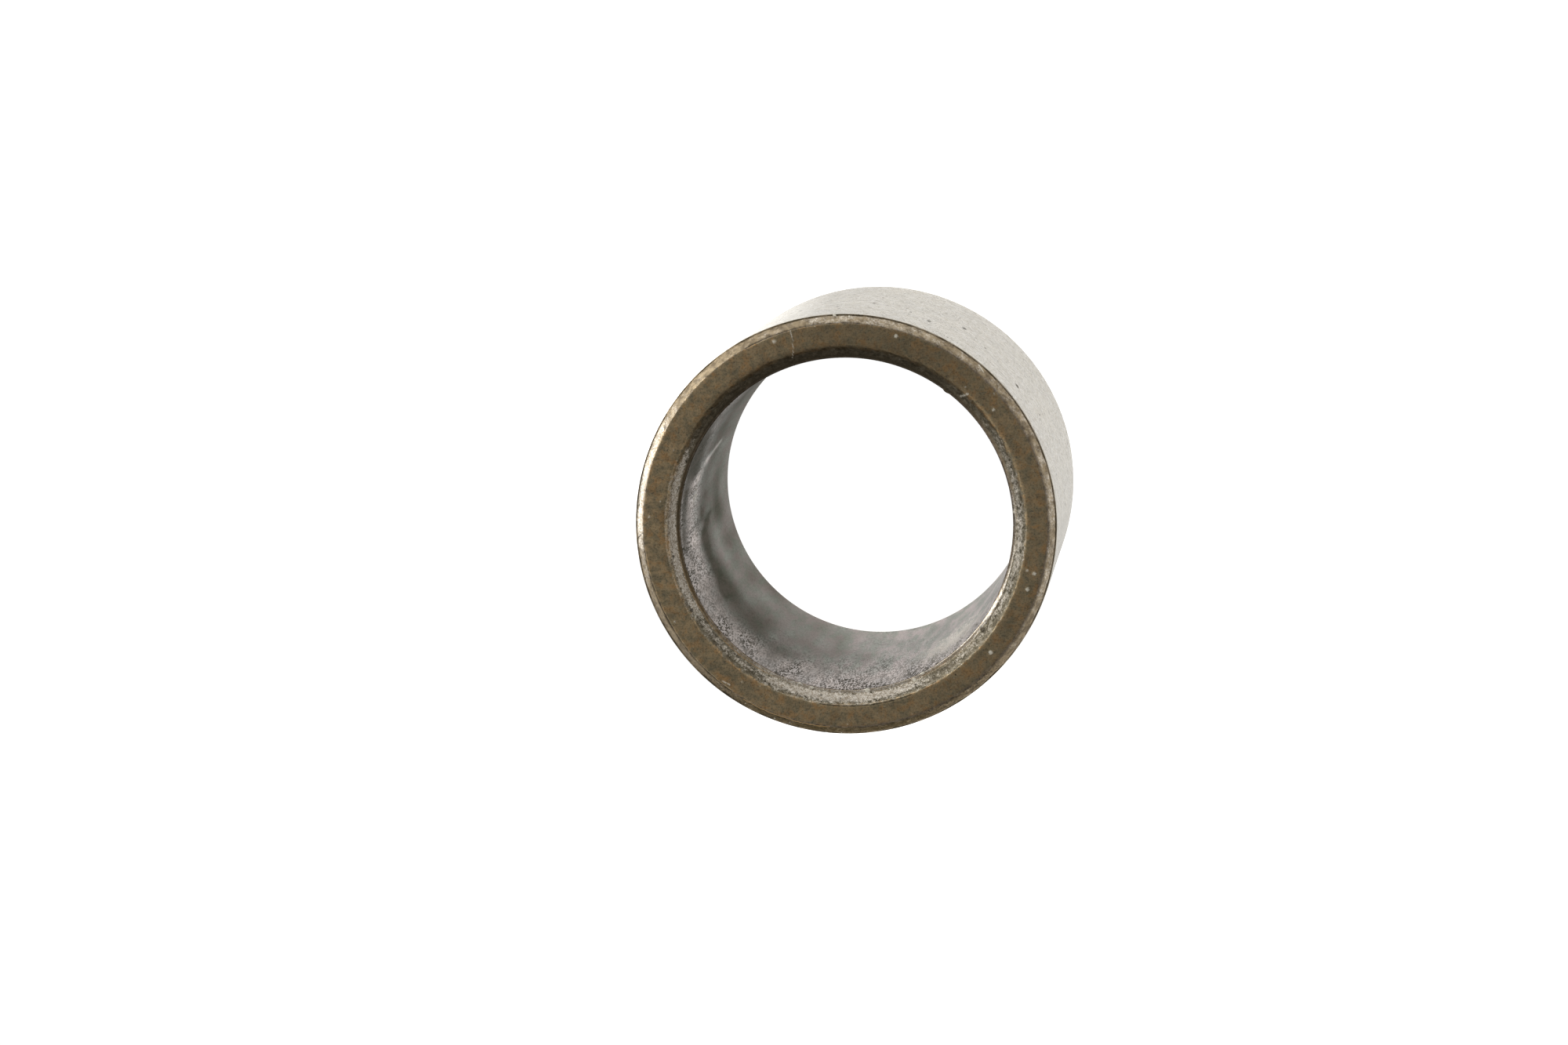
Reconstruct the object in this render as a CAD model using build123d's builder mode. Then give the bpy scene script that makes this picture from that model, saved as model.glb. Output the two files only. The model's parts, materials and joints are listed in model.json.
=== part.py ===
from build123d import *
import os

# Plain sleeve bearing: one ring of porous sintered bronze, pressed and sized in a die.
# It stands upright on the XY plane. Its axis is +Z and the origin is the centre of its lower
# end face. All sizes are in millimetres, and both ends are the same.

# Driving dimensions
BORE_DIAMETER = 15.0        # running bore, for a 15 mm shaft
OUTSIDE_DIAMETER = 19.0     # press-fit outside, for a 19 mm housing
LENGTH = 20.0               # over the two end faces

# Edge shapes that the punches leave at each end. A punch rim can't be a sharp feather, so it
# leaves a narrow flat land between each chamfer and the wall beside it.
BORE_LAND = 0.18            # width of the land round the bore's mouth
BORE_CHAMFER_WIDTH = 0.44   # across the end face
BORE_CHAMFER_DEPTH = 0.60   # along the axis
OUTER_LAND = 0.07           # width of the land round the outside edge
OUTER_CHAMFER_WIDTH = 0.31  # across the end face
OUTER_CHAMFER_DEPTH = 0.40  # along the axis

# Derived radii of the section
BORE_R = BORE_DIAMETER / 2
OUTSIDE_R = OUTSIDE_DIAMETER / 2
BORE_LAND_R = BORE_R + BORE_LAND
FACE_INNER_R = BORE_LAND_R + BORE_CHAMFER_WIDTH
OUTER_LAND_R = OUTSIDE_R - OUTER_LAND
FACE_OUTER_R = OUTER_LAND_R - OUTER_CHAMFER_WIDTH


def end_section(face_z, inward):
    """Section points (radius, height) of one end, from the bore wall out to the outside wall.

    face_z is the height of the end face, and inward is +1 or -1, towards the middle.
    """
    bore_land_z = face_z + inward * BORE_CHAMFER_DEPTH
    outer_land_z = face_z + inward * OUTER_CHAMFER_DEPTH
    return [
        (BORE_R, bore_land_z),
        (BORE_LAND_R, bore_land_z),
        (FACE_INNER_R, face_z),
        (FACE_OUTER_R, face_z),
        (OUTER_LAND_R, outer_land_z),
        (OUTSIDE_R, outer_land_z),
    ]


# The wall's section, turned once round the axis
with BuildPart() as bushing_sleeve:
    with BuildSketch(Plane.XZ):
        with BuildLine():
            lower_end = end_section(0, +1)
            upper_end = end_section(LENGTH, -1)
            Polyline(*lower_end, *reversed(upper_end), close=True)
        make_face()
    revolve(axis=Axis.Z)

bushing_sleeve.part.label = "bushing_sleeve"

os.makedirs("parts", exist_ok=True)
export_step(bushing_sleeve.part, "parts/bushing_sleeve.step")
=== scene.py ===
import json
import math
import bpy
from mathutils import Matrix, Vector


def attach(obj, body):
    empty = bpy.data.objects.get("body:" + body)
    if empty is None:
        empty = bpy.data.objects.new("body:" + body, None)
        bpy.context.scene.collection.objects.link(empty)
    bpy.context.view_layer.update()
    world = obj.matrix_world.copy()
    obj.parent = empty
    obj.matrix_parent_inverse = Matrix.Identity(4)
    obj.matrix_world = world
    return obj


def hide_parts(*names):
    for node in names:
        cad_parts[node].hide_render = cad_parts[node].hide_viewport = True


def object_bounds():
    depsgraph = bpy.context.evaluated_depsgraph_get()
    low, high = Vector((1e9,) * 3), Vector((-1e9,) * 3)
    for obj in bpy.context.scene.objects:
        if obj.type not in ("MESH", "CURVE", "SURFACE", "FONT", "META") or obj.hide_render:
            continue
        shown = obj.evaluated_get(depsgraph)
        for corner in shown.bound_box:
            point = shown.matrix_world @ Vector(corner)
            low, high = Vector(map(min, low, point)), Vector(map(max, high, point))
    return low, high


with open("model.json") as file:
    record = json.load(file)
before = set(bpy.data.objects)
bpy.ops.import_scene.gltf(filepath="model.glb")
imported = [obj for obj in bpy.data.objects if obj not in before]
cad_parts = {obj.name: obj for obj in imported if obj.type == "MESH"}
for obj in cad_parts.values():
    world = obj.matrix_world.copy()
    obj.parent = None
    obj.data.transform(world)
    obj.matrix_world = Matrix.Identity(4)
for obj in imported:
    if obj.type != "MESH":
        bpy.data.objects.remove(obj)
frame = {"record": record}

from types import SimpleNamespace

import bpy
import numpy as np
from mathutils import Matrix, Vector, noise

# A sintered bronze sleeve bushing, standing upright on a pale floor. The mesh code works in
# millimetres and scales to metres once, when the mesh is made.
#
# Two coordinates place things on the sleeve. "bearing" is the angle in degrees about +Z, counted
# from -X towards -Y. "section" is the distance in mm along the wall's section: 0 at the corner
# between the bore and its land, negative down the bore, positive out across the end.

MM = 0.001
cad_lo, cad_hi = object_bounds()
mounts = {m["name"]: m["dims"] for m in frame["record"]["mounts"]}

# Sizes that the frame gives, in mm
LENGTH = (cad_hi.z - cad_lo.z) / MM
BORE_R = mounts["bore"]["r_mm"]
OUTSIDE_R = mounts["outside_wall"]["r_mm"]
BORE_CHAMFER_DEPTH = (LENGTH - mounts["bore"]["length_mm"]) / 2
OUTER_CHAMFER_DEPTH = (LENGTH - mounts["outside_wall"]["length_mm"]) / 2

# Widths across the end face, in mm, as in the CAD section
BORE_LAND = 0.18
BORE_CHAMFER_WIDTH = 0.44
OUTER_LAND = 0.07
OUTER_CHAMFER_WIDTH = 0.31
FACE_INNER_R = BORE_R + BORE_LAND + BORE_CHAMFER_WIDTH
FACE_OUTER_R = OUTSIDE_R - OUTER_LAND - OUTER_CHAMFER_WIDTH

# Section distances of the corners of one end
LAND_END = BORE_LAND
FACE_START = LAND_END + math.hypot(BORE_CHAMFER_WIDTH, BORE_CHAMFER_DEPTH)
FACE_END = FACE_START + FACE_OUTER_R - FACE_INNER_R
RIM_START = FACE_END + math.hypot(OUTER_CHAMFER_WIDTH, OUTER_CHAMFER_DEPTH)
RIM_END = RIM_START + OUTER_LAND

# Mesh density
COLUMNS = 760               # mesh columns round the axis
UPPER_STEP = 0.046          # ring spacing across the upper end, in mm
LOWER_STEP = 0.11           # and across the lower end
WALL_STEP_GROWTH = 1.3      # each ring down a wall is this much further than the last
WALL_STEP_MAX = 1.1
FINE_STEP = 0.01            # spacing of the section line before it is sampled

# Finish, in mm where it is a length
CRISP = 0.026               # how far a crisp corner is rounded
WORN = 0.11                 # how far a worn corner is rounded
LOWER_END_TURN = 250        # the lower end wears at bearing b as the upper does at this minus b
SEED = 19                   # of the small random marks
PIT_DRAWN_OUT = 0.3         # width of a wall pit, as a share of its length along the axis
BUMP_DEPTH = 0.018          # relief of the material's bump

# The photographed view: almost straight down the bore, a little from the front left, with the
# top of the picture towards the front of the part.
VIEW_AZIMUTH = 318.9
VIEW_ELEVATION = 81.1
VIEW_DISTANCE = 200.2       # from the upper end face, along the view, in mm
VIEW_OFFSET_RIGHT = 2.715   # where the end face's centre lies from the middle of the view, in mm
VIEW_OFFSET_UP = -0.164
SENSOR_WIDTH = 36.0
LENS = 102.6

# Stage and light
FLOOR_HALF_WIDTH = 3.0      # in metres
FLOOR_GREY = 0.45
FLOOR_ROUGHNESS = 0.9
# Pools of light on the floor: (direction, cosine at its edge, strength)
FLOOR_POOLS = [((0.91, -0.42, 0.0), 0.6, 1.25), ((-0.17, 0.98, 0.0), 0.6, 0.8),
               ((-0.71, -0.71, 0.0), -0.2, 0.32)]
KEY_TOWARDS = (0.85, -0.52, 0.30)
KEY_DISTANCE = 260          # from the part's middle, in mm
KEY_SIZE = 150              # in mm
KEY_POWER = 0.22            # in watts
BRIGHT_SIDE = (0.66, -0.75, 0.0)

# Wear and grime round each part of the end: (bearing, amount) pairs, amount from 0 to 1. Their
# change with bearing is partly real and partly painted light: the wear tables add a painted
# highlight where a surface faces the light, and the grime tables add painted shade where it
# faces away.
WEAR_AND_HIGHLIGHT = {
    # on the land, the bright stretch from bearing 215 round to 18 is partly painted highlight
    "land": [(0, .8), (18, .35), (40, 0), (195, 0), (215, .3), (245, .6), (275, .65), (305, .55),
             (325, .9), (335, 1), (352, 1)],
    # on the bore chamfer, the bright stretches round bearings 185 and 270 are partly painted highlight
    "bore_chamfer": [(0, .5), (25, .3), (45, 0), (148, 0), (163, .7), (185, .95), (202, .75),
                     (216, .35), (238, .3), (252, .75), (262, .95), (278, .95), (290, .6),
                     (302, .2), (330, .3), (350, .45)],
    # on the outer chamfer, the bright stretch round bearing 170, facing the key light, is partly
    # painted highlight
    "outer_chamfer": [(0, .35), (30, .3), (62, .3), (84, .42), (112, .25), (130, .15), (146, .3),
                      (156, .5), (166, .62), (181, .68), (185, .42), (192, .4), (203, .2),
                      (222, .1), (240, 0), (305, 0), (325, .2), (345, .35)],
}
GRIME_AND_SHADE = {
    # in the bore, the dark stretch from bearing 130 to 255 is painted shade
    "bore": [(0, 0), (130, .62), (165, .52), (195, .5), (230, .5), (255, .38), (280, .12), (300, 0)],
    # on the face, the darker colour outside bearings 150 to 185, the key light's side, is painted
    # shade
    "face": [(0, .28), (30, .28), (60, .45), (95, .4), (125, .16), (150, 0), (185, 0), (215, .18),
             (245, .14), (270, .16), (300, .32), (330, .34)],
    # on the land, the dark stretch from bearing 40 to 218 is painted shade
    "land": [(0, 0), (20, .3), (40, .75), (60, 1), (130, 1), (150, .75), (175, .65), (198, .5),
             (218, .25), (240, 0), (352, 0)],
    # on the bore chamfer, the dark stretch from bearing 35 to 160, where it faces away from the light,
    # is painted shade
    "bore_chamfer": [(12, 0), (35, .2), (58, .6), (90, .68), (125, .62), (146, .55), (160, .15),
                     (172, 0), (352, 0)],
    # on the outer chamfer, the dark stretch from bearing 225 to 312 is painted shade over a real crust
    "outer_chamfer": [(0, .1), (75, .1), (130, 0), (200, 0), (225, .3), (245, .62), (290, .65),
                      (312, .4), (335, .1)],
}
# How much of the bore chamfer's width is rubbed bare; the rest keeps the face's brown
RUBBED_SHARE = [(0, 1), (25, .8), (60, .6), (150, .55), (180, .55), (200, .75), (215, .95), (240, 1),
                (275, .85), (295, 1), (315, 1.15), (345, 1.15)]
# Painted shade in the bore, set by its grime table, grows with the depth from the mouth: (depth in
# mm, factor)
BORE_SHADE_BY_DEPTH = [(0, .7), (3, .85), (6, 1), (10, 1.25), (14, 1.2), (20, 1.1)]
# Patches on the bore wall: (bearing, depth, half width, half depth in mm, change of grime and shade).
# Where the change is positive the patch is darker, partly stain and partly painted shade; where it is
# negative the wall is brighter, partly rubbed and partly painted highlight.
BORE_PATCHES_AND_PAINTED_LIGHT = [
    (156, 1.6, 2.0, 1.5, .45), (216, 9.0, 1.6, 1.6, .2), (183, 14.5, 1.0, 1.4, .2),
    (203, 12.5, 1.8, 1.6, -.15), (236, 6.5, 2.2, 1.8, .15), (295, 15, 0.8, 2.5, .3),
    (314, 14, 0.5, 4.0, .3), (268, 11, 1.6, 2.0, .12), (306, 7.0, 2.2, 5.0, -.8),
    (278, 2.2, 2.6, 1.8, -.2), (222, 15, 1.6, 2.0, -.1), (8, 5.0, 5.0, 5.0, -.7),
]
# Longer streaks on the bore wall: bearing and depth of both ends, half width, change of grime and
# shade
BORE_STREAKS = [
    (160.5, 12.5, 164, 8.6, .13, -.35), (164, 8.6, 169, 6.2, .17, -.4), (169, 6.2, 176, 5.7, .22, -.4),
    (176, 5.7, 190, 5.2, .28, -.3), (190, 5.2, 202, 4.8, .3, -.2), (152, 3.5, 166, 4.2, .3, .35),
    (171, 2.2, 190, 1.5, .2, .25), (186, 11.0, 191, 8.5, .12, .4), (191, 8.5, 204, 8.5, .2, .5),
    (204, 8.5, 214, 7.8, .15, .4), (178, 9.5, 186, 8.0, .12, .2),
]
BORE_STREAK_DEPTH = 0.2     # a streak is this much narrower round the wall than down it
# The land's inner corner is rolled down towards the bore on one side: (bearing, drop in mm)
LAND_ROLL = [(0, .12), (15, .06), (30, 0), (316, 0), (326, .04), (336, .1), (352, .13)]
# How worn the two corners of the face are
CORNER_WEAR = {
    "inner": [(0, .65), (25, 1), (60, 1), (130, 1), (160, .6), (180, .35), (215, .5), (250, .4),
              (300, .3), (325, .3), (350, .5)],
    "outer": [(0, .5), (30, .6), (60, .5), (80, .15), (118, .1), (150, .05), (235, .1), (250, .4),
              (300, .7), (330, .8)],
}

# Marks on the upper end: (bearing, radius, size, strength) with radius and size in mm
PALE_GRAINS = [
    (178, 8.82, .08, .8), (173, 8.38, .07, .7), (156.5, 8.40, .06, .6), (210, 8.87, .07, .8),
    (237, 8.50, .07, .7), (319.5, 8.65, .12, 1), (341.5, 8.65, .11, .9), (346.5, 8.75, .12, .8),
    (347, 8.40, .10, .7), (282.5, 8.35, .06, .6), (290, 9.0, .06, .7), (306, 8.4, .06, .6),
    (38.5, 8.5, .10, .8), (42, 8.97, .07, .6), (75, 8.85, .12, .8), (111, 8.85, .12, .8),
    (49.5, 8.30, .07, .6), (57, 8.05, .07, .5), (212, 7.98, .09, .9), (254, 7.50, .09, 1),
    (258.5, 7.58, .09, 1), (262.5, 7.56, .05, 1), (277.5, 7.56, .15, 1), (281, 7.9, .07, .9),
    (294, 7.66, .11, 1), (297.5, 7.54, .11, 1), (323.5, 7.56, .07, .9), (93, 9.46, .09, 1),
    (89, 9.38, .07, .9), (5, 7.56, .07, .9), (267, 7.95, .06, .8), (272, 7.8, .07, .8),
    (250, 9.35, .05, .9), (254.5, 9.33, .05, .9), (258, 9.2, .04, .8), (265, 9.43, .05, .9),
    (269, 9.42, .05, .8), (241, 9.3, .04, .7), (233, 9.25, .04, .7), (219, 9.22, .04, .7),
]
DARK_PITS = [
    (307, 8.32, .06, 1), (209.5, 7.95, .10, 1), (305, 7.8, .08, 1), (323, 7.75, .13, 1),
    (175, 9.35, .06, .8), (152, 9.2, .07, .8), (139, 7.95, .08, .8), (262, 7.8, .07, 1),
    (191, 7.9, .08, 1), (294, 7.85, .07, 1), (285, 7.95, .06, 1), (268.5, 7.85, .06, 1),
]
# Longer marks: (bearing and radius of one end, bearing and radius of the other, half width)
PALE_SCRATCHES = [
    (105.5, 9.10, 106, 8.40, .035), (106, 8.40, 107.5, 7.90, .035),
    (47.5, 8.12, 48.6, 7.78, .07), (232, 9.0, 234.5, 8.92, .045), (48.5, 9.30, 50.5, 9.40, .05),
]
SEAMS = [
    (85, 9.14, 102, 9.13, .03), (102, 9.13, 119.5, 9.12, .03), (186, 9.13, 210, 9.12, .035),
    (210, 9.12, 236, 9.13, .03), (150.5, 9.33, 153.5, 9.12, .045), (325, 7.70, 350, 7.69, .03),
    (262, 8.14, 292, 8.15, .03), (238, 9.2, 262, 9.22, .025), (182.6, 9.13, 184.2, 9.42, .04),
    (184.2, 9.42, 187, 9.46, .03), (166, 9.38, 181, 9.40, .015),
]
# Pits in the outside wall: (bearing, depth, size) in mm, each drawn out along the axis
WALL_PITS = [
    (60, 9.3, .13), (38.5, 5.2, .13), (69, 5.0, .12), (86, 7.8, .09), (107, 8.0, .09), (0.5, 9.0, .08),
    (52, 7.2, .06), (28, 6.8, .06), (75, 6.4, .06), (95, 5.6, .07), (12, 4.2, .06), (345, 7.5, .07),
]
# A burr on the bore's edge: (bearing, radius, size, strength)
BURR = (53.5, 7.52, .16, 1)
# Burnished golden edges
GOLD_LINES = [
    (164, 7.70, 205, 7.69, .022), (205, 7.69, 250, 7.66, .022), (296, 7.63, 322, 7.60, .025),
    (152, 9.16, 181, 9.16, .03), (240, 9.17, 266, 9.16, .022), (322, 7.53, 360, 7.54, .02),
]


def srgb(red, green, blue):
    """A colour given in 0 to 255 display values, as linear RGBA."""
    linear = []
    for value in (red, green, blue):
        c = value / 255
        linear.append(c / 12.92 if c <= 0.04045 else ((c + 0.055) / 1.055) ** 2.4)
    return (*linear, 1.0)


# ---------------------------------------------------------------- mesh

def end_section(softness):
    """The upper end's section line with rounded corners: distance, radius and height arrays."""
    middle = LENGTH / 2
    corners = np.array([
        (BORE_R, middle),
        (BORE_R, LENGTH - BORE_CHAMFER_DEPTH),
        (BORE_R + BORE_LAND, LENGTH - BORE_CHAMFER_DEPTH),
        (FACE_INNER_R, LENGTH),
        (FACE_OUTER_R, LENGTH),
        (OUTSIDE_R - OUTER_LAND, LENGTH - OUTER_CHAMFER_DEPTH),
        (OUTSIDE_R, LENGTH - OUTER_CHAMFER_DEPTH),
        (OUTSIDE_R, middle),
    ])
    steps = np.linalg.norm(np.diff(corners, axis=0), axis=1)
    along = np.concatenate([[0], np.cumsum(steps)]) - steps[0]
    fine = np.arange(along[0], along[-1] + FINE_STEP / 2, FINE_STEP)
    reach = math.ceil(4 * softness / FINE_STEP)
    kernel = np.exp(-0.5 * (np.arange(-reach, reach + 1) * FINE_STEP / softness) ** 2)
    kernel /= kernel.sum()
    lines = []
    for k in range(2):
        padded = np.pad(np.interp(fine, along, corners[:, k]), reach, mode="reflect",
                        reflect_type="odd")
        lines.append(np.convolve(padded, kernel, mode="valid"))
    return fine, lines[0], lines[1]


def ring_places(step):
    """Section distances of one end's mesh rings, from the middle of the bore to mid outside."""
    def down_a_wall(length):
        places, gap, at = [], step, 0.0
        while at + 1.5 * gap < length:
            at += gap
            places.append(at)
            gap = min(gap * WALL_STEP_GROWTH, WALL_STEP_MAX)
        return places + [length]

    inner = [-d for d in reversed(down_a_wall(LENGTH / 2 - BORE_CHAMFER_DEPTH))]
    outer = [RIM_END + d for d in down_a_wall(LENGTH / 2 - OUTER_CHAMFER_DEPTH)]
    across = np.linspace(0, RIM_END, round(RIM_END / step) + 1)
    return np.array([*inner, *across, *outer])


def fractal(points, scale, octaves, offset):
    """Signed fractal noise, about -1 to 1, at points in mm. scale is in features per mm."""
    total = np.zeros(len(points))
    weight, size = 1.0, scale
    for octave in range(octaves):
        shift = Vector((offset + 17.3 * octave, offset * 0.7, -offset))
        total += weight * np.array([noise.noise(Vector(p) * size + shift) for p in points])
        weight, size = weight * 0.55, size * 2.03
    return total


def smooth_step(values, low, high):
    """0 below low, 1 above high, and a smooth rise between them."""
    t = np.clip((values - low) / (high - low), 0, 1)
    return t * t * (3 - 2 * t)


def band(values, low, high, edge):
    """1 between low and high, falling to 0 over edge on each side."""
    rise = smooth_step(values, low - edge, low + edge)
    return rise * (1 - smooth_step(values, high - edge, high + edge))


def around(bearing, stops):
    """The amount at each bearing, from (bearing, amount) pairs that run once round the part."""
    return np.interp(bearing, [s[0] for s in stops], [s[1] for s in stops], period=360)


def section_of(radius):
    """Section distance of a point on the end at that radius."""
    return np.interp(radius, [BORE_R, BORE_R + BORE_LAND, FACE_INNER_R, FACE_OUTER_R,
                              OUTSIDE_R - OUTER_LAND, OUTSIDE_R],
                     [0, LAND_END, FACE_START, FACE_END, RIM_START, RIM_END])


class Surface:
    """The sleeve's mesh grid: where each vertex lies, and masks for the marks on it."""

    def __init__(self):
        upper, lower = ring_places(UPPER_STEP), ring_places(LOWER_STEP)
        # upper rings from mid bore to mid outside, then the lower end's back again
        section = np.concatenate([upper, lower[-2:0:-1]])
        self.rings = len(section)
        self.section = np.repeat(section, COLUMNS)
        self.upper = np.repeat(np.arange(self.rings) < len(upper), COLUMNS)
        self.turn = np.tile(np.arange(COLUMNS) * 2 * math.pi / COLUMNS, self.rings)
        self.bearing = (np.degrees(self.turn) + 180) % 360

        on_end = band(self.section, 0, RIM_END, 0.01) > 0.5
        mirrored = (LOWER_END_TURN - self.bearing) % 360
        self.place = np.where(self.upper | ~on_end, self.bearing, mirrored)
        inner_half = self.section < (FACE_START + FACE_END) / 2
        self.softness = np.where(inner_half, around(self.place, CORNER_WEAR["inner"]),
                                 around(self.place, CORNER_WEAR["outer"]))
        self.set_shape()

    def set_shape(self):
        """Place each vertex and find its normal, in mm, before any mark is cut."""
        crisp, worn = end_section(CRISP), end_section(WORN)
        radius, height = (
            np.interp(self.section, crisp[0], crisp[k]) * (1 - self.softness)
            + np.interp(self.section, worn[0], worn[k]) * self.softness for k in (1, 2))
        rolled = np.where(self.section < 0, smooth_step(self.section, -0.5, 0),
                          1 - smooth_step(self.section, 0, LAND_END))
        height = height - around(self.place, LAND_ROLL) * rolled
        slope_r = np.interp(self.section, worn[0], np.gradient(worn[1], worn[0]))
        slope_z = np.interp(self.section, worn[0], np.gradient(worn[2], worn[0]))
        size = np.hypot(slope_r, slope_z)
        flip = np.where(self.upper, 1, -1)
        height = np.where(self.upper, height, LENGTH - height)
        out_r, out_z = -slope_z / size, flip * slope_r / size
        cos, sin = np.cos(self.turn), np.sin(self.turn)
        self.radius = radius
        self.points = np.stack([radius * cos, radius * sin, height], -1)
        self.normals = np.stack([out_r * cos, out_r * sin, out_z], -1)

    def zone(self, name, edge=0.04):
        """1 in that part of the section, fading over edge mm to each side of its borders."""
        low, high = {
            "bore": (-LENGTH, 0), "land": (0, LAND_END), "bore_chamfer": (LAND_END, FACE_START),
            "face": (FACE_START, FACE_END), "outer_chamfer": (FACE_END, RIM_START),
        }[name]
        return band(self.section, low, high, edge)

    def arc_from(self, bearing, radius):
        """Distance round the part from that bearing, in mm."""
        return np.radians((self.bearing - bearing + 180) % 360 - 180) * radius

    def spot(self, bearing, radius, size, strength):
        """A round mark on the upper end, falling to 0 at its edge."""
        away = np.hypot(self.section - section_of(radius), self.arc_from(bearing, radius))
        return strength * self.upper * (1 - smooth_step(away, 0.55 * size, 1.25 * size))

    def bore_patch(self, bearing, depth, half_width, half_depth):
        """A soft patch on the bore wall."""
        down = (LENGTH - self.points[:, 2] - depth) / half_depth
        aside = self.arc_from(bearing, BORE_R) / half_width
        return self.zone("bore") * np.exp(-(down ** 2 + aside ** 2))

    def bore_streak(self, bearing_a, depth_a, bearing_b, depth_b, half_width):
        """A soft line on the bore wall between two places."""
        length = np.radians(bearing_b - bearing_a) * BORE_R
        fall = (depth_b - depth_a) * BORE_STREAK_DEPTH
        along = self.arc_from(bearing_a, BORE_R)
        down = (LENGTH - self.points[:, 2] - depth_a) * BORE_STREAK_DEPTH
        t = np.clip((along * length + down * fall) / (length ** 2 + fall ** 2), 0, 1)
        away = np.hypot(along - t * length, down - t * fall)
        return self.zone("bore") * np.exp(-(away / half_width) ** 2)

    def line(self, bearing_a, radius_a, bearing_b, radius_b, half_width):
        """1 along a line on the upper end between two places, falling to 0 beside it."""
        mean_r = (radius_a + radius_b) / 2
        length = np.radians(bearing_b - bearing_a) * mean_r
        rise = section_of(radius_b) - section_of(radius_a)
        along = self.arc_from(bearing_a, mean_r)
        across = self.section - section_of(radius_a)
        t = np.clip((along * length + across * rise) / (length ** 2 + rise ** 2), 0, 1)
        away = np.hypot(along - t * length, across - t * rise)
        return self.upper * (1 - smooth_step(away, 0.5 * half_width, 1.5 * half_width))


def strongest(masks):
    """The greatest of several masks at each vertex."""
    return np.max(np.stack(masks), axis=0)


def scatter(surface, rng, count, sizes, zones):
    """Small round marks at random on both ends, as one mask."""
    mask = np.zeros(len(surface.section))
    for _ in range(count):
        low, high = zones[rng.integers(len(zones))]
        across = rng.uniform(low, high)
        bearing = rng.uniform(0, 360)
        size = rng.uniform(*sizes)
        upper = rng.random() < 0.6      # more than half fall on the upper end
        near = (np.abs(surface.section - across) < 2 * size) & (surface.upper == upper)
        away = np.hypot(surface.section - across, surface.arc_from(bearing, surface.radius))
        mask = np.maximum(mask, near * (1 - smooth_step(away, 0.5 * size, 1.3 * size)))
    return mask


def find_marks(s):
    """A mask for each kind of mark on the ends, from the lists above and small random ones."""
    rng = np.random.default_rng(SEED)
    # the face is in the list twice, so that it gets more of the random marks
    zones = [(0, LAND_END), (LAND_END, FACE_START), (FACE_START, FACE_END), (FACE_START, FACE_END),
             (FACE_END, RIM_START)]
    small_grains = 0.7 * scatter(s, rng, count=30, sizes=(0.025, 0.05), zones=zones)
    small_pits = 0.6 * scatter(s, rng, count=90, sizes=(0.03, 0.06), zones=zones)
    return SimpleNamespace(
        grains=strongest([*(s.spot(*mark) for mark in PALE_GRAINS), small_grains]),
        pits=strongest([*(s.spot(*mark) for mark in DARK_PITS), small_pits]),
        scratches=strongest([s.line(*mark) for mark in PALE_SCRATCHES]),
        seams=strongest([s.line(*mark) for mark in SEAMS]),
        gold=strongest([s.line(*mark) for mark in GOLD_LINES]))


def wear_grime_and_painted_light(s, patchy):
    """How worn and how soiled each vertex is, from 0 to 1, with painted highlight and painted shade in
    them.
    """
    wear_and_highlight = sum(s.zone(name) * around(s.place, stops) for name, stops in WEAR_AND_HIGHLIGHT.items())
    # the bore chamfer is rubbed most about a third of the way across
    across_chamfer = (s.section - LAND_END) / (FACE_START - LAND_END)
    most_rubbed = 0.4 + np.exp(-((across_chamfer - 0.36) / 0.26) ** 2)
    wear_and_highlight *= np.where(s.zone("bore_chamfer") > 0.5, most_rubbed, 1)

    # grime and painted shade fade out over a wider border where the corners are worn
    fade = 0.04 + 0.16 * s.softness
    grime_and_shade = sum(s.zone(name, fade) * around(s.place, stops) for name, stops in GRIME_AND_SHADE.items()
                if name != "bore")
    depth = np.clip(LENGTH - s.points[:, 2], 0, LENGTH)
    down_bore = np.interp(depth, *zip(*BORE_SHADE_BY_DEPTH))
    grime_and_shade += s.zone("bore") * around(s.place, GRIME_AND_SHADE["bore"]) * down_bore
    marks = [(change, s.bore_patch(*patch)) for *patch, change in BORE_PATCHES_AND_PAINTED_LIGHT]
    marks += [(change, s.bore_streak(*streak)) for *streak, change in BORE_STREAKS]
    for change, mask in marks:
        grime_and_shade += change * mask
        wear_and_highlight += max(-change, 0) * 0.7 * mask
    # darker in the step under the outer chamfer, and a little below it on the wall
    grime_and_shade = np.maximum(grime_and_shade, band(s.section, RIM_START, RIM_END, 0.04) * (0.7 + 0.9 * patchy))
    grime_and_shade += 0.12 * band(s.section, RIM_END, RIM_END + 2.0, 0.8)
    return np.clip(wear_and_highlight, 0, 1), np.clip(grime_and_shade, 0, 1)


def relief(s, marks, patchy):
    """How far each vertex is raised along its normal by grain, chipped corners and marks, in mm."""
    coarse = fractal(s.points, 3.6, 2, 3.0)
    slow = fractal(s.points, 0.22, 2, 23.0)
    crust = around(s.place, GRIME_AND_SHADE["outer_chamfer"])
    grain_height = (0.022 * s.zone("bore_chamfer") + 0.010 * s.zone("land") + 0.0025 * s.zone("face")
                    + (0.008 + 0.03 * crust) * s.zone("outer_chamfer"))
    corner = (np.exp(-((s.section - FACE_START) / 0.10) ** 2)
              + np.exp(-((s.section - FACE_END) / 0.08) ** 2)
              + np.exp(-((s.section - RIM_START) / 0.06) ** 2))
    return (coarse * grain_height - corner * (0.010 + 0.014 * patchy) + 0.006 * slow * s.zone("face")
            + 0.030 * marks.grains + 0.05 * s.spot(*BURR) + 0.004 * marks.scratches
            - 0.035 * marks.pits - 0.016 * marks.seams)


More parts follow.
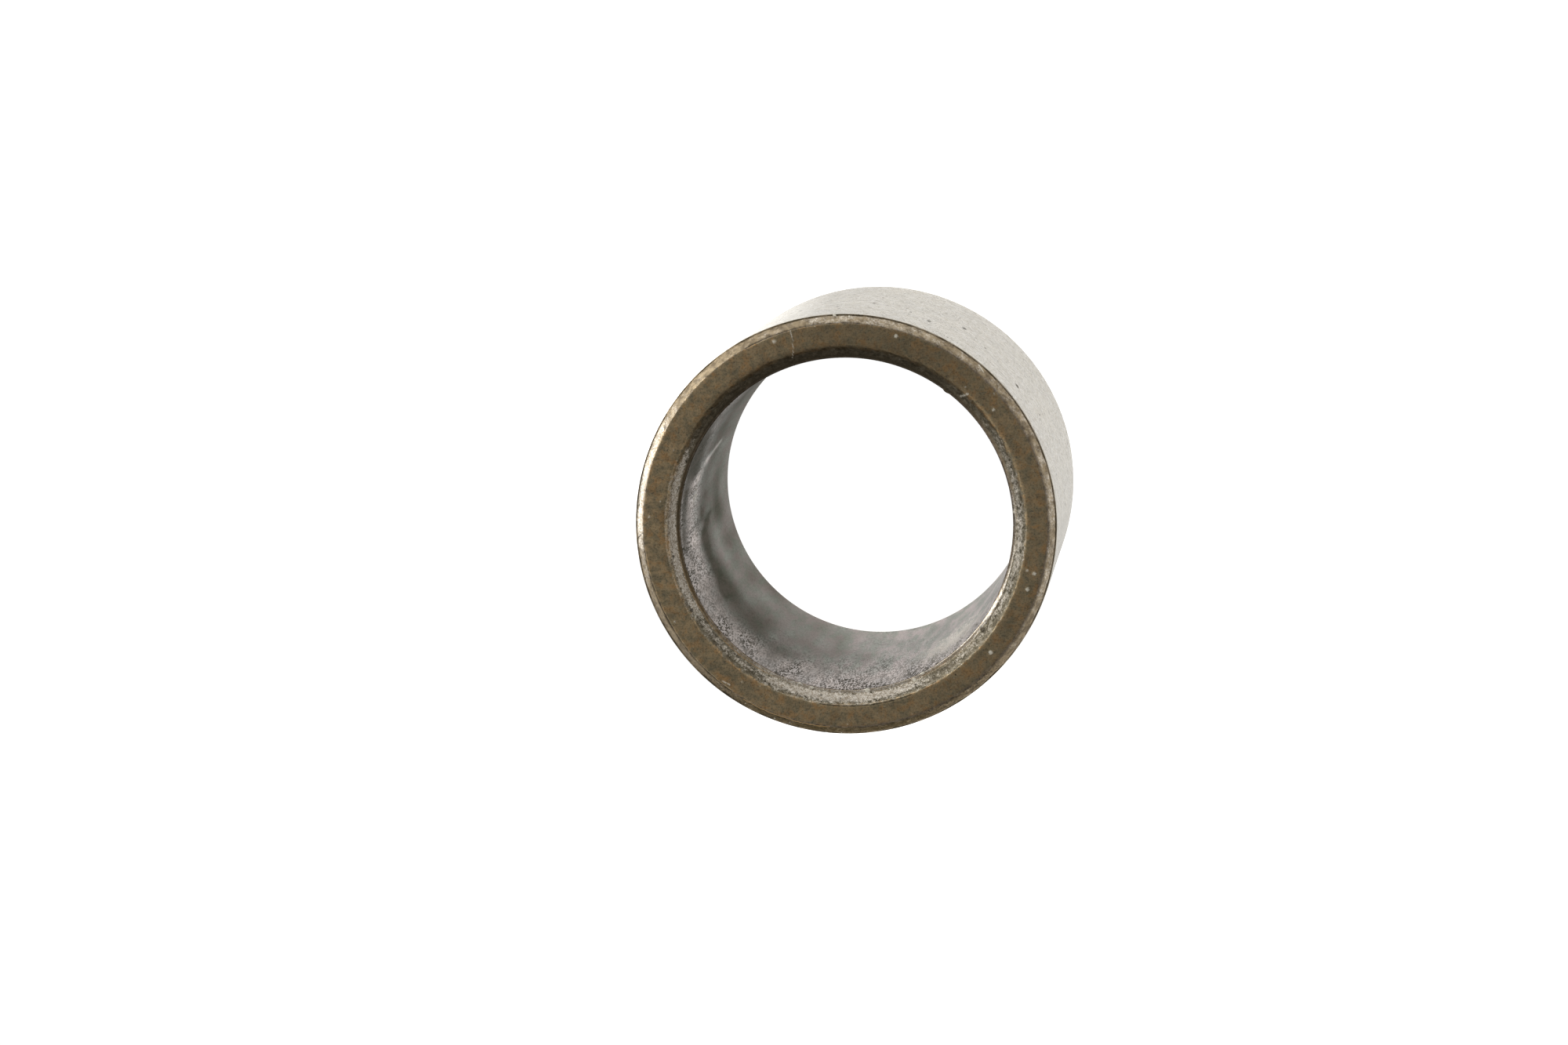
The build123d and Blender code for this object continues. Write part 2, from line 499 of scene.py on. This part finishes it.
def build_surface():
    """The grid, its vertex positions in mm, and the masks that the material uses."""
    s = Surface()
    marks = find_marks(s)
    patchy = fractal(s.points, 1.1, 2, 11.0)
    wear_and_highlight, grime_and_shade = wear_grime_and_painted_light(s, patchy)
    masks = {"section": s.section, "wear_and_highlight": wear_and_highlight, "grime_and_shade": grime_and_shade,
             "pale": strongest([marks.grains, 0.75 * marks.scratches]),
             "pit": strongest([marks.pits, 0.8 * marks.seams]),
             "gold": marks.gold, "soft": s.softness,
             "rubbed_end": LAND_END + (FACE_START - LAND_END) * around(s.place, RUBBED_SHARE)}
    return s, s.points + s.normals * relief(s, marks, patchy)[:, None], masks


def sleeve_mesh():
    """The whole sleeve as one closed mesh."""
    s, points, masks = build_surface()
    mesh = bpy.data.meshes.new("sintered_sleeve")
    a = np.arange(s.rings * COLUMNS).reshape(s.rings, COLUMNS)
    b = np.roll(a, -1, axis=0)
    faces = np.stack([a, np.roll(a, -1, axis=1), np.roll(b, -1, axis=1), b], -1).reshape(-1, 4)
    mesh.from_pydata((points * MM).tolist(), [], faces.tolist())
    for name, values in masks.items():
        mesh.attributes.new(name, "FLOAT", "POINT").data.foreach_set("value", values)
    mesh.polygons.foreach_set("use_smooth", [True] * len(mesh.polygons))
    mesh.update()
    return mesh


# ---------------------------------------------------------------- material

class Graph:
    """Short names for the shader nodes of one material or world."""

    def __init__(self, owner, shader):
        owner.use_nodes = True
        self.tree = owner.node_tree
        self.shader = self.tree.nodes[shader]

    def node(self, kind, inputs=(), **settings):
        made = self.tree.nodes.new(kind)
        for key, value in settings.items():
            setattr(made, key, value)
        for key, value in dict(inputs).items():
            self.put(made.inputs[key], value)
        return made

    def put(self, socket, value):
        """Link the socket to a value that is itself a socket, or else set it."""
        if isinstance(value, bpy.types.NodeSocket):
            self.tree.links.new(value, socket)
        else:
            socket.default_value = value

    def math(self, operation, a, b=0.0, c=0.0):
        return self.node("ShaderNodeMath", {0: a, 1: b, 2: c}, operation=operation).outputs[0]

    def remap(self, value, low, high, to_low=0.0, to_high=1.0, shape="SMOOTHSTEP"):
        """to_low where the value is low or less, to_high where it is high or more."""
        made = self.node("ShaderNodeMapRange", {
            "Value": value, "From Min": low, "From Max": high, "To Min": to_low, "To Max": to_high,
        }, interpolation_type=shape)
        return made.outputs["Result"]

    def mix(self, factor, a, b):
        """A colour between a and b."""
        made = self.node("ShaderNodeMix", data_type="RGBA")
        self.put(made.inputs["Factor"], factor)
        self.put(made.inputs[6], a)
        self.put(made.inputs[7], b)
        return made.outputs[2]

    def blend(self, factor, a, b):
        """A number between a and b."""
        made = self.node("ShaderNodeMix", data_type="FLOAT")
        self.put(made.inputs["Factor"], factor)
        self.put(made.inputs[2], a)
        self.put(made.inputs[3], b)
        return made.outputs[0]

    def noise(self, at, scale, detail=2.0, roughness=0.5, distortion=0.0):
        made = self.node("ShaderNodeTexNoise", {
            "Vector": at, "Scale": scale, "Detail": detail, "Roughness": roughness,
            "Distortion": distortion})
        return made.outputs["Fac"]

    def cell_tone(self, at, scale):
        """A random value from 0 to 1 for each grain."""
        cells = self.node("ShaderNodeTexVoronoi", {"Vector": at, "Scale": scale}).outputs["Color"]
        return self.node("ShaderNodeSeparateColor", {"Color": cells}).outputs[0]

    def vector_math(self, operation, a, b=(0, 0, 0), c=(0, 0, 0), output=0):
        made = self.node("ShaderNodeVectorMath", {0: a, 1: b, 2: c}, operation=operation)
        return made.outputs[output]

    def attribute(self, name):
        """One of the masks stored on the mesh."""
        return self.node("ShaderNodeAttribute", attribute_name=name).outputs["Fac"]

    def chain(self, operation, values):
        """The operation applied to the first two values, then to its result and the next."""
        result = values[0]
        for value in values[1:]:
            result = self.math(operation, result, value)
        return result

    def times(self, *values):
        return self.chain("MULTIPLY", values)

    def plus(self, *values):
        return self.chain("ADD", values)

    def around_zero(self, tone):
        """A tone that runs from 0 to 1, moved to run from -0.5 to 0.5."""
        return self.plus(tone, -0.5)


def shared_tones(g):
    """Noises, grains and borders that several parts of the material use. Lengths are in mm."""
    t = SimpleNamespace()
    object_place = g.node("ShaderNodeTexCoord").outputs["Object"]

    def place(along_axis):
        """The place on the part, with distances along the axis multiplied by along_axis."""
        return g.vector_math("MULTIPLY", object_place, (1 / MM, 1 / MM, along_axis / MM))

    t.at = place(1.0)
    drawn, smeared, die_drawn = place(0.4), place(0.2), place(0.02)

    shaken = g.node("ShaderNodeTexNoise", {"Vector": t.at, "Scale": 9.0, "Detail": 2.0})
    shaken = g.vector_math("MULTIPLY_ADD", shaken.outputs["Color"], (0.28, 0.28, 0.28), t.at)
    t.grain = g.cell_tone(shaken, 7.0)
    t.fine_grain = g.cell_tone(shaken, 15.0)
    t.granular = g.noise(t.at, 11.0, 4.0, 0.75)
    t.wobble = g.noise(t.at, 5.0, 3.0, 0.6)
    t.mottle = g.noise(t.at, 3.0, 4.0, 0.62)
    t.clumps = g.noise(t.at, 2.2, 3.0, 0.6)
    t.warm = g.noise(t.at, 1.9, 4.0, 0.65, 0.3)
    t.blotches = g.noise(t.at, 1.3, 5.0, 0.6)
    t.patches = g.noise(t.at, 0.9, 3.0, 0.55)
    t.pores = g.remap(g.noise(t.at, 7.0, 4.0, 0.7), 0.54, 0.66)

    # the bore and the outside wall were sized along the axis, so their grain is drawn out that way
    t.bore_grain = g.noise(smeared, 12.0, 3.0, 0.75)
    t.bore_clumps = g.noise(smeared, 4.0, 3.0, 0.6)
    t.bore_patches = g.noise(smeared, 1.0, 4.0, 0.55)
    t.bore_hue = g.remap(g.noise(smeared, 2.0, 4.0, 0.6), 0.38, 0.62)
    t.wall_grain = g.noise(drawn, 10.0, 3.0, 0.75)
    t.die_lines = g.noise(die_drawn, 9.0, 2.0, 0.6)

    height = g.node("ShaderNodeSeparateXYZ", {0: t.at}).outputs["Z"]
    t.depth = g.math("SUBTRACT", LENGTH, height)
    t.section = g.plus(g.attribute("section"), g.remap(t.wobble, 0.2, 0.8, -0.045, 0.045))
    # borders between the zones blur where the corners are worn
    t.border = g.math("MULTIPLY_ADD", g.attribute("soft"), 0.12, 0.03)
    return t


def zone(g, t, low, high):
    """1 between two section distances, fading to 0 over their borders."""
    rise = g.remap(t.section, g.math("SUBTRACT", low, t.border), g.math("ADD", low, t.border))
    fall = g.remap(t.section, g.math("SUBTRACT", high, t.border), g.math("ADD", high, t.border),
                   1.0, 0.0)
    return g.times(rise, fall)


def add_zones(g, t):
    """The zones along the section. The bore chamfer's own ends where its rubbed share does."""
    rubbed_end = g.math("SUBTRACT", t.section, g.attribute("rubbed_end"))
    rubbed_end = g.plus(rubbed_end, g.remap(t.mottle, 0.3, 0.7, -0.1, 0.1))
    rubbed_share = g.remap(rubbed_end, -0.11, 0.11, 1.0, 0.0)
    t.in_bore = g.remap(t.section, -0.1, 0.0, 1.0, 0.0)
    t.on_land = zone(g, t, 0.0, LAND_END)
    t.on_chamfer = g.times(zone(g, t, LAND_END, FACE_START), rubbed_share)
    t.on_face = zone(g, t, LAND_END, FACE_END)
    t.on_rim = zone(g, t, FACE_END, RIM_END)
    t.on_outside = g.remap(t.section, RIM_END - 0.03, RIM_END + 0.03)


def face_colour(g, t):
    """End face: brown patina, mottled grey-green and orange, with dark grains."""
    brown, tan, orange = srgb(144, 133, 106), srgb(198, 171, 130), srgb(202, 146, 80)
    grey_green, pale_grain = srgb(108, 106, 88), srgb(216, 194, 158)
    dark_grain, pore = srgb(92, 90, 78), srgb(82, 86, 84)
    colour = g.mix(g.remap(t.mottle, 0.32, 0.68), brown, tan)
    colour = g.mix(g.times(g.remap(t.warm, 0.46, 0.66), 0.55), colour, orange)
    colour = g.mix(g.remap(t.blotches, 0.36, 0.54, 0.45, 0.0), colour, grey_green)
    colour = g.mix(g.remap(t.granular, 0.36, 0.62, 0.0, 0.25), colour, pale_grain)
    colour = g.mix(g.remap(t.granular, 0.34, 0.5, 0.45, 0.0), colour, dark_grain)
    return g.mix(g.times(t.pores, 0.5), colour, pore)


def chamfer_colour(g, t):
    """Bore chamfer: coarse grains, browner where they are less worn and less highlight is painted,
    with deep pores.
    """
    shadow, crest, brown, pore = (srgb(96, 90, 74), srgb(212, 204, 184), srgb(134, 123, 101),
                                  srgb(60, 58, 50))
    wear_and_highlight = g.attribute("wear_and_highlight")
    colour = g.mix(g.remap(t.chamfer_tone, 0.4, 1.0), shadow, crest)
    colour = g.mix(g.remap(wear_and_highlight, 0.1, 0.6, 0.6, 0.0), colour, brown)
    return g.mix(g.times(t.pores, g.remap(wear_and_highlight, 0.1, 0.6, 0.35, 0.85)), colour, pore)


def land_colour(g, t):
    """Land at the bore's mouth: bronze with little patina."""
    return g.mix(g.remap(t.mottle, 0.4, 0.6), srgb(134, 112, 80), srgb(168, 148, 116))


def rim_colour(g, t):
    """Outer chamfer: smooth bronze, with a dark granular crust where it is soiled, which round bearing
    270 is painted shade as well.
    """
    smooth = g.mix(g.remap(t.mottle, 0.36, 0.64), srgb(106, 93, 73), srgb(150, 134, 108))
    dark_grain, pale_grain = srgb(54, 47, 37), srgb(190, 172, 140)
    crust = g.mix(t.mottle, srgb(98, 84, 64), srgb(160, 140, 110))
    crust = g.mix(g.remap(t.granular, 0.4, 0.56, 1.0, 0.0), crust, dark_grain)
    crust = g.mix(g.remap(t.grain, 0.85, 1.0, 0.0, 0.5), crust, pale_grain)
    return g.mix(g.remap(g.attribute("grime_and_shade"), 0.15, 0.5), smooth, crust)


def bore_colour(g, t):
    """Bore wall: pink-grey running surface, greener and darker with depth, with dark pores."""
    shallow = g.mix(t.bore_hue, srgb(176, 166, 160), srgb(214, 200, 192))
    deep = g.mix(t.bore_hue, srgb(134, 137, 120), srgb(176, 160, 155))
    deep = g.mix(g.remap(t.bore_patches, 0.38, 0.62, 0.45, 0.0), deep, srgb(112, 112, 102))
    colour = g.mix(g.remap(t.depth, 3.0, 9.0), shallow, deep)
    return g.mix(t.bore_pores, colour, srgb(74, 72, 67))


def outside_colour(g, t):
    """Outside wall: burnished bronze, with faint die lines and dark flecks."""
    warm_bronze, die_line, fleck = srgb(148, 128, 99), srgb(168, 159, 140), srgb(70, 60, 47)
    colour = g.mix(g.remap(t.patches, 0.35, 0.65), srgb(138, 131, 115), srgb(146, 138, 119))
    colour = g.mix(g.remap(t.warm, 0.5, 0.7, 0.0, 0.3), colour, warm_bronze)
    colour = g.mix(g.remap(t.die_lines, 0.4, 0.7, 0.0, 0.15), colour, die_line)
    return g.mix(t.flecks, colour, fleck)


def wall_flecks(g, t):
    """Fine pores of the outside wall, thicker in blotches, and the larger pits among them."""
    flecks = g.remap(t.wall_grain, 0.53, 0.66, 0.0, 0.6)
    flecks = g.times(flecks, g.remap(t.blotches, 0.38, 0.6, 0.1, 1.0))
    for bearing, pit_depth, size in WALL_PITS:
        turn = math.radians(bearing + 180)
        centre = (OUTSIDE_R * math.cos(turn), OUTSIDE_R * math.sin(turn), LENGTH - pit_depth)
        away = g.vector_math("SUBTRACT", t.at, centre)
        away = g.vector_math("MULTIPLY", away, (1, 1, PIT_DRAWN_OUT))
        away = g.vector_math("LENGTH", away, output="Value")
        near = g.plus(away, g.times(g.around_zero(t.wobble), 0.12))
        flecks = g.math("MAXIMUM", flecks, g.remap(near, 0.5 * size, 1.2 * size, 0.85, 0.0))
    return flecks


def add_pores(g, t):
    """Tones of the pores and grains of the chamfer, the bore and the outside wall."""
    t.chamfer_tone = g.plus(g.times(t.grain, 0.35), g.times(t.fine_grain, 0.25),
                            g.times(t.granular, 0.8))
    clumps = g.times(g.around_zero(t.bore_clumps), 0.4)
    speckle = g.remap(g.plus(t.bore_grain, clumps), 0.43, 0.57)
    # pores and grain are strongest near the bore's mouth
    t.fade_down = g.remap(t.depth, 4.0, 12.0, 1.0, 0.25)
    t.bore_pores = g.times(speckle, g.remap(t.bore_patches, 0.35, 0.6, 0.95, 0.5), t.fade_down)
    t.flecks = wall_flecks(g, t)


def add_wear_grime_and_painted_light(g, t):
    """Wear and painted highlight show grain by grain and in broken patches, and soiling and painted
    shade lie in soft patches.

    In the bore both follow the grain drawn out along the axis.
    """
    t.broken = g.blend(t.in_bore, t.clumps, t.bore_clumps)
    t.worn_grain = g.blend(t.in_bore, t.granular, t.bore_grain)
    patchiness = g.blend(t.on_face, 0.85, 1.1)
    coarse = g.times(t.on_chamfer, 0.9)
    rubbed = g.plus(g.times(g.attribute("wear_and_highlight"), 1.3), -0.15,
                    g.times(g.around_zero(t.broken), patchiness),
                    g.times(g.around_zero(t.grain), g.plus(coarse, 0.1), 0.5),
                    g.times(g.around_zero(t.worn_grain), g.plus(coarse, 0.5, t.in_bore)))
    t.rubbed = g.remap(rubbed, 0.1, 0.9)
    uneven = g.blend(t.in_bore, t.mottle, t.bore_patches)
    dirty = g.plus(g.times(g.attribute("grime_and_shade"), 1.2), -0.1, g.times(g.around_zero(uneven), 0.8))
    t.dirty = g.remap(dirty, 0.05, 0.95)


def zone_colours(g, t):
    """Each zone's own colour, laid one over the other from the bore outwards."""
    colour = g.mix(t.on_land, bore_colour(g, t), land_colour(g, t))
    colour = g.mix(t.on_face, colour, face_colour(g, t))
    colour = g.mix(t.on_chamfer, colour, chamfer_colour(g, t))
    colour = g.mix(t.on_rim, colour, rim_colour(g, t))
    return g.mix(t.on_outside, colour, outside_colour(g, t))


def worn_and_painted_light_colour(g, t, colour):
    """The colour with bright metal where it is worn and where a highlight is painted, then a dark
    soiled colour where it is soiled and where shade is painted.
    """
    # bright metal where worn, which on the sides facing the light is a painted highlight
    bright = g.mix(g.remap(t.worn_grain, 0.4, 0.6), srgb(194, 180, 158), srgb(255, 247, 233))
    colour = g.mix(t.rubbed, colour, bright)
    # dark soiled colour, which on the sides away from the light is painted shade
    dirt = g.mix(t.grain, srgb(62, 56, 43), srgb(92, 82, 64))
    # on the land the darkest colour, from bearing 40 to 218, is painted shade
    dirt = g.mix(t.on_land, dirt, srgb(50, 47, 38))
    # in the bore this grey-green is stain and, from bearing 130 to 255 and deeper in, painted shade
    bore_dirt_and_shade_colour = g.mix(t.bore_hue, srgb(80, 82, 72), srgb(100, 96, 88))
    dirt = g.mix(t.in_bore, dirt, bore_dirt_and_shade_colour)
    return g.mix(g.times(t.dirty, 0.9), colour, dirt)


def marked_colour(g, t, colour):
    """The colour with pits, pale grains and burnished golden edges over it."""
    pit = g.plus(g.attribute("pit"), g.times(g.around_zero(t.wobble), 0.6))
    gold = g.plus(g.attribute("gold"), g.times(g.around_zero(t.broken), 0.9))
    colour = g.mix(g.times(g.remap(pit, 0.3, 0.8), 0.75), colour, srgb(44, 40, 32))
    colour = g.mix(g.times(t.pale, 0.8), colour, srgb(252, 246, 228))
    return g.mix(g.times(g.remap(gold, 0.3, 0.9), 0.6), colour, srgb(196, 158, 106))


def set_gloss(g, t):
    """Specular tint, roughness and metallic."""
    # metal goes white at a grazing angle, but pores and grime trap the light; where the grime mask
    # holds painted shade, this dimming is painted shade too
    shade = g.math("MAXIMUM", g.times(t.dirty, g.blend(t.in_bore, 1.0, 0.8)),
                   g.times(t.bore_pores, t.in_bore))
    shade = g.math("MAXIMUM", shade, g.times(t.flecks, t.on_outside))
    tint = g.mix(shade, (1, 1, 1, 1), (0.22, 0.21, 0.18, 1))
    g.put(g.shader.inputs["Specular Tint"], tint)

    rough_grain = g.blend(t.in_bore, t.grain, t.bore_grain)
    rough = g.plus(0.40, g.times(t.on_chamfer, 0.14), g.times(g.around_zero(rough_grain), 0.14),
                   g.times(t.dirty, 0.1), g.times(t.rubbed, -0.06), g.times(t.pores, 0.12),
                   g.times(t.on_outside, -0.1))
    g.put(g.shader.inputs["Roughness"], rough)

    # crushed grains scatter the light instead of mirroring it
    crushed = g.math("MAXIMUM", t.pale, g.times(t.rubbed, t.on_chamfer, 0.6))
    g.put(g.shader.inputs["Metallic"], g.math("MULTIPLY_ADD", crushed, -0.8, 0.95))


def set_bump(g, t):
    """Fine relief of grains and pores, too small for the mesh."""
    height = g.plus(g.times(t.chamfer_tone, t.on_chamfer, 1.2),
                    g.times(t.granular, g.blend(t.in_bore, 0.5, 0.0)),
                    g.times(t.pores, g.plus(-0.15, g.times(t.on_chamfer, -0.5))),
                    g.times(t.bore_grain, t.in_bore, t.fade_down, -0.5),
                    g.times(t.wall_grain, t.on_outside, -0.5))
    bump = g.node("ShaderNodeBump", {
        "Strength": 0.4, "Distance": BUMP_DEPTH * MM, "Height": height})
    g.put(g.shader.inputs["Normal"], bump.outputs["Normal"])


def bronze_material():
    """Porous bronze: a colour for each zone, then wear, grime and marks over them."""
    material = bpy.data.materials.new("sintered_bronze")
    g = Graph(material, "Principled BSDF")
    t = shared_tones(g)
    add_zones(g, t)
    add_pores(g, t)
    add_wear_grime_and_painted_light(g, t)
    pale = g.plus(g.attribute("pale"), g.times(g.around_zero(t.fine_grain), 0.3))
    t.pale = g.remap(pale, 0.3, 1.0)
    colour = worn_and_painted_light_colour(g, t, zone_colours(g, t))
    g.put(g.shader.inputs["Base Color"], marked_colour(g, t, colour))
    set_gloss(g, t)
    set_bump(g, t)
    return material


def make_sleeve():
    """The one visual piece, which stands in for the CAD sleeve."""
    sleeve = bpy.data.objects.new("sleeve", sleeve_mesh())
    bpy.context.scene.collection.objects.link(sleeve)
    sleeve.data.materials.append(bronze_material())
    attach(sleeve, "root")
    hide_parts("bushing_sleeve")


# ---------------------------------------------------------------- stage, light and camera

def floor_glow(g):
    """Strength of the floor's own light: white near the part, dimmer far off, with pools."""
    place = g.node("ShaderNodeTexCoord").outputs["Object"]
    away = g.vector_math("LENGTH", place, output="Value")
    heading = g.vector_math("NORMALIZE", place)
    far_off = g.remap(away, 0.06, 0.5, 0.83, 0.5)
    close_by = g.remap(away, OUTSIDE_R * MM, (OUTSIDE_R + 1) * MM, 1.0, 0.0)
    glow = g.math("MAXIMUM", far_off, close_by)
    # the pools lie beside the part, for its wall to mirror
    beside = g.times(g.remap(away, (OUTSIDE_R - 0.5) * MM, OUTSIDE_R * MM),
                     g.remap(away, 0.04, 0.4, 1.0, 0.0))
    for towards, width, strength in FLOOR_POOLS:
        along = g.vector_math("DOT_PRODUCT", heading, towards, output="Value")
        pool = g.remap(along, width, 1.0, 0.0, strength)
        glow = g.plus(glow, g.times(pool, beside))
    return glow


def make_floor():
    """A pale floor, lit from within so that it stays white."""
    half = FLOOR_HALF_WIDTH
    mesh = bpy.data.meshes.new("floor")
    mesh.from_pydata([(-half, -half, 0), (half, -half, 0), (half, half, 0), (-half, half, 0)],
                     [], [(0, 1, 2, 3)])
    floor = bpy.data.objects.new("floor", mesh)
    bpy.context.scene.collection.objects.link(floor)
    material = bpy.data.materials.new("pale_floor")
    g = Graph(material, "Principled BSDF")
    g.put(g.shader.inputs["Emission Strength"], floor_glow(g))
    g.put(g.shader.inputs["Emission Color"], (1, 1, 1, 1))
    g.put(g.shader.inputs["Base Color"], (FLOOR_GREY, FLOOR_GREY, FLOOR_GREY, 1))
    g.put(g.shader.inputs["Roughness"], FLOOR_ROUGHNESS)
    mesh.materials.append(material)


def make_key_light():
    """A square soft light at the front right, facing the part's middle."""
    data = bpy.data.lights.new("key", "AREA")
    data.shape = "SQUARE"
    data.size = KEY_SIZE * MM
    data.energy = KEY_POWER
    light = bpy.data.objects.new("key", data)
    bpy.context.scene.collection.objects.link(light)
    aim = Vector(KEY_TOWARDS).normalized()
    light.location = Vector((0, 0, LENGTH / 2 * MM)) + aim * KEY_DISTANCE * MM
    light.rotation_mode = "QUATERNION"
    light.rotation_quaternion = aim.to_track_quat("Z", "Y")


def make_world():
    """Soft surround: bright at the horizon, dim overhead, brighter at the front right."""
    world = bpy.data.worlds.new("studio")
    bpy.context.scene.world = world
    g = Graph(world, "Background")
    towards = g.node("ShaderNodeTexCoord").outputs["Generated"]
    height = g.node("ShaderNodeSeparateXYZ", {0: towards}).outputs["Z"]
    side = g.vector_math("DOT_PRODUCT", towards, BRIGHT_SIDE, output="Value")
    by_height = g.remap(height, 0.1, 0.85, 0.9, 0.31)
    by_side = g.remap(side, -1.0, 1.0, 0.5, 1.2, shape="LINEAR")
    g.put(g.shader.inputs["Strength"], g.times(by_height, by_side))
    g.put(g.shader.inputs["Color"], (1, 1, 1, 1))


def make_camera():
    """The photograph's view, set from the middle of the upper end face."""
    azimuth, elevation = math.radians(VIEW_AZIMUTH), math.radians(VIEW_ELEVATION)
    back = Vector((math.sin(azimuth) * math.cos(elevation),
                   -math.cos(azimuth) * math.cos(elevation), math.sin(elevation)))
    right = Vector((0, -1, 0)).cross(back).normalized()
    up = back.cross(right)
    data = bpy.data.cameras.new("camera")
    data.sensor_width = SENSOR_WIDTH
    data.lens = LENS
    data.clip_start = 0.01
    data.clip_end = 5.0
    camera = bpy.data.objects.new("camera", data)
    bpy.context.scene.collection.objects.link(camera)
    face_centre = Vector((0, 0, LENGTH))
    place = face_centre - right * VIEW_OFFSET_RIGHT - up * VIEW_OFFSET_UP + back * VIEW_DISTANCE
    turn = Matrix((right, up, back)).transposed()
    camera.matrix_world = Matrix.Translation(place * MM) @ turn.to_4x4()
    bpy.context.scene.camera = camera


make_camera()
make_world()
make_key_light()
make_floor()
make_sleeve()
bpy.context.scene.view_settings.view_transform = "Standard"
